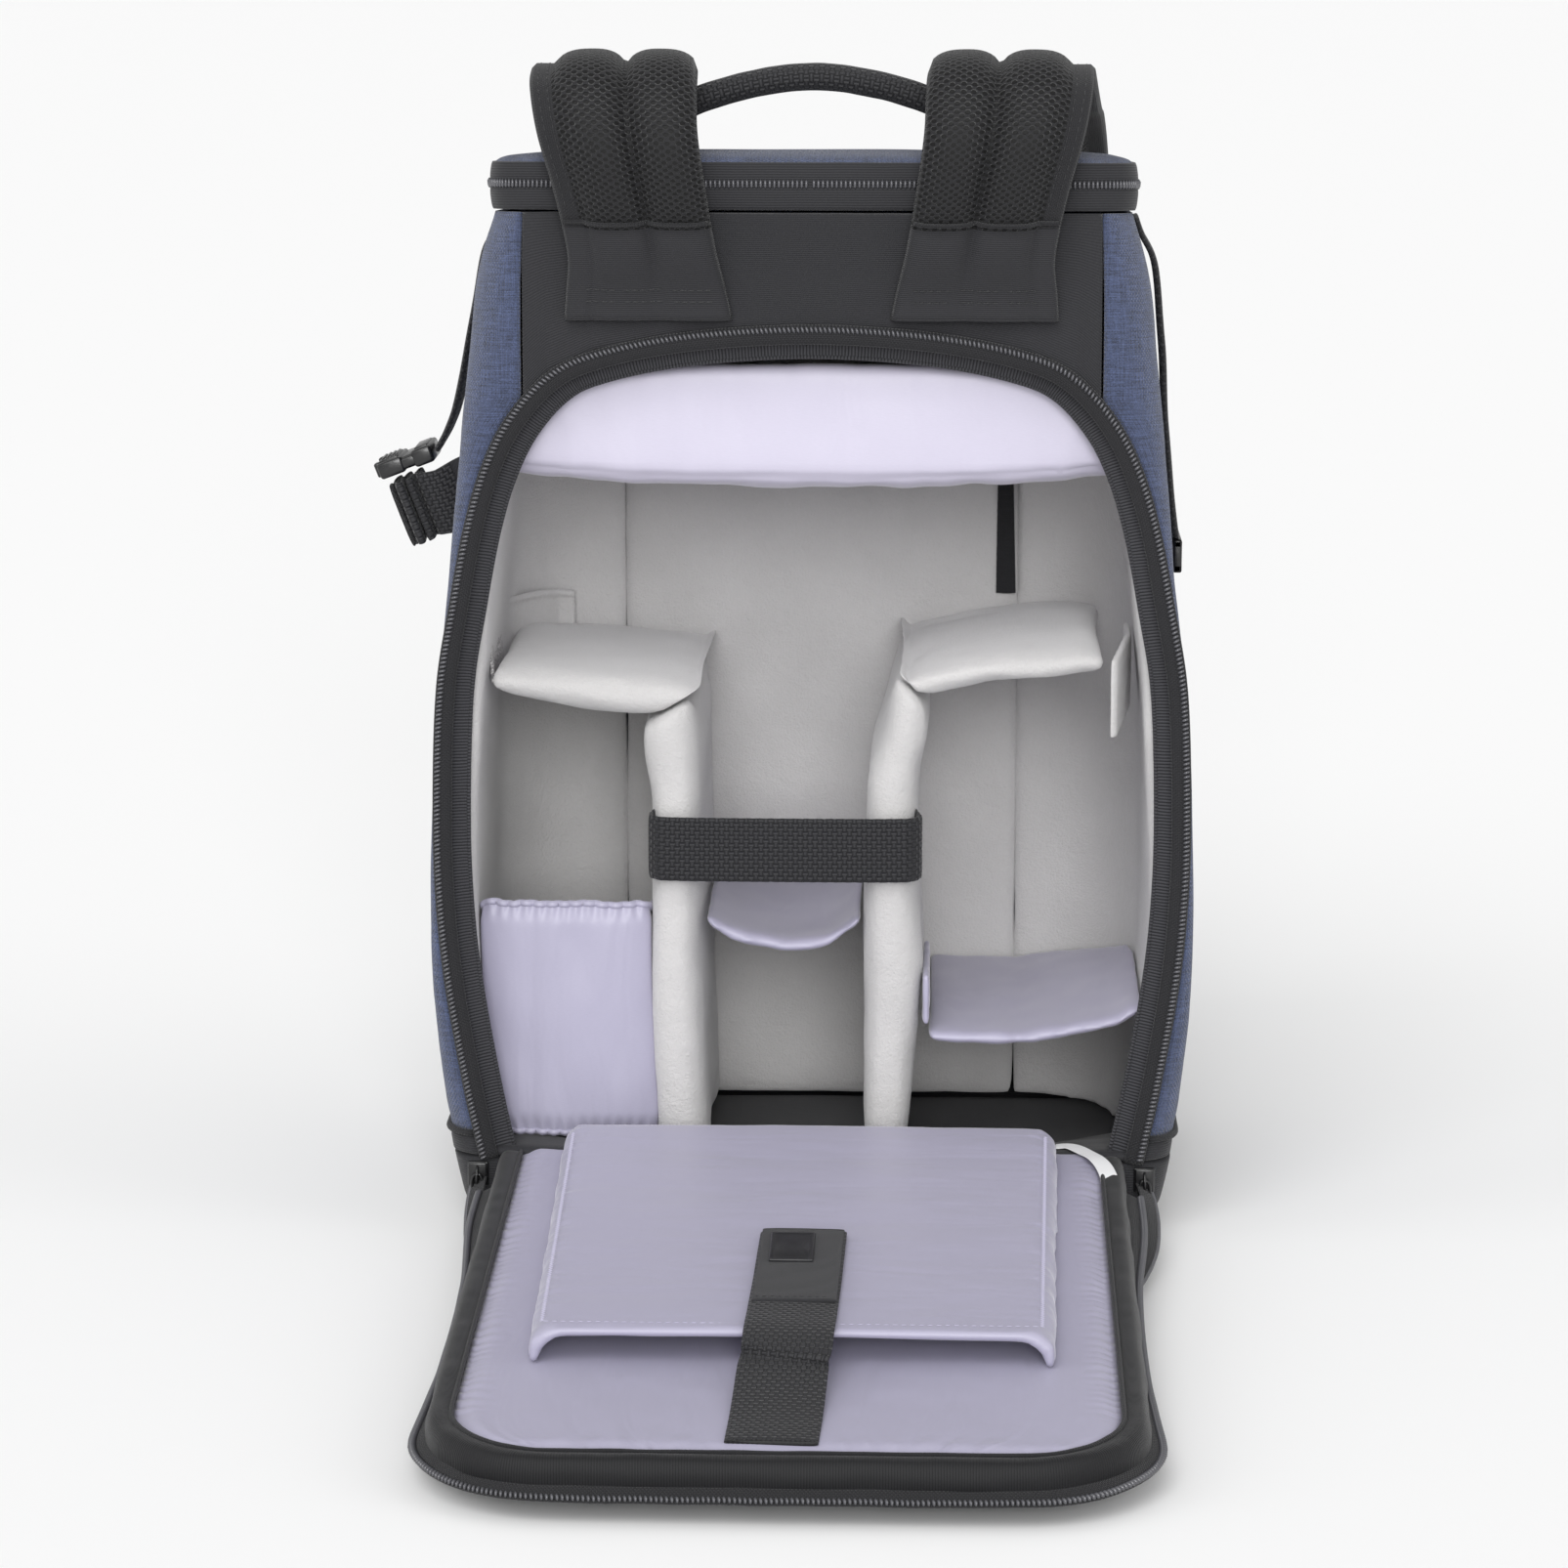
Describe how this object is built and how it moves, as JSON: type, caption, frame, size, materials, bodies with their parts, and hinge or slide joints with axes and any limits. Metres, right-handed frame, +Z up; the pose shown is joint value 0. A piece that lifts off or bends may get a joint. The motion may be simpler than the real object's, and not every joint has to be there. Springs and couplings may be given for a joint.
{
  "type": "camera backpack",
  "caption": "Padded camera backpack standing upright, its rear access flap unzipped and folded down, with dividers, tablet sleeve, shoulder straps and haul handle.",
  "frame": {"origin": "on the floor, under the middle of the bag's body", "axes": "+Z up, +Y from the rear opening into the bag, +X to the right seen from the opening"},
  "size_m": [0.3281, 0.5297, 0.4567],
  "materials": {
    "navy_fabric": "heather weave, matt",
    "black_fabric": "fine rib, matt",
    "black_mesh": "open mesh over foam",
    "black_webbing": "coarse weave",
    "black_plastic": "satin moulded",
    "zip_tape": "woven tape with coil",
    "grey_lining": "soft nap",
    "lilac_satin": "satin sheen",
    "white_label": "bare woven tape"
  },
  "bodies": {
    "root": {"side_panel_left": "navy_fabric", "side_panel_right": "navy_fabric", "front_panel": "navy_fabric", "top_lid": "navy_fabric", "base_panel": "black_fabric", "rear_yoke": "black_fabric", "lid_zip_band": "black_fabric", "opening_gusset": "black_fabric", "hinge_sill": "black_fabric", "floor_liner": "black_fabric", "flap_rim": "black_fabric", "flap_panel": "black_fabric", "strap_anchor_left": "black_fabric", "back_pad_left": "black_mesh", "back_pad_right": "black_mesh", "lumbar_pad": "black_mesh", "shoulder_strap_left": "black_mesh", "shoulder_strap_right": "black_mesh", "cradle_strap": "black_webbing", "elastic_strip": "black_webbing", "closure_strap": "black_webbing", "haul_handle": "black_webbing", "lower_webbing_left": "black_webbing", "lower_webbing_right": "black_webbing", "side_strap_left": "black_webbing", "side_strap_right": "black_webbing", "strap_tail_left": "black_webbing", "strap_badge": "black_plastic", "ladder_lock_left": "black_plastic", "ladder_lock_right": "black_plastic", "side_lock_right": "black_plastic", "side_buckle_left": "black_plastic", "zip_slider_left": "black_plastic", "zip_slider_right": "black_plastic", "opening_zip": "zip_tape", "flap_zip": "zip_tape", "side_liner_left": "grey_lining", "side_liner_right": "grey_lining", "back_liner": "grey_lining", "divider_left": "grey_lining", "divider_right": "grey_lining", "shelf_left": "grey_lining", "shelf_left_tab": "grey_lining", "shelf_right": "grey_lining", "shelf_right_tab": "grey_lining", "shelf_center": "lilac_satin", "shelf_low": "lilac_satin", "shelf_low_tab": "lilac_satin", "upper_divider": "lilac_satin", "flash_pocket": "lilac_satin", "flap_lining": "lilac_satin", "tablet_pocket": "lilac_satin", "flap_label": "white_label"}
  },
  "joints": []
}
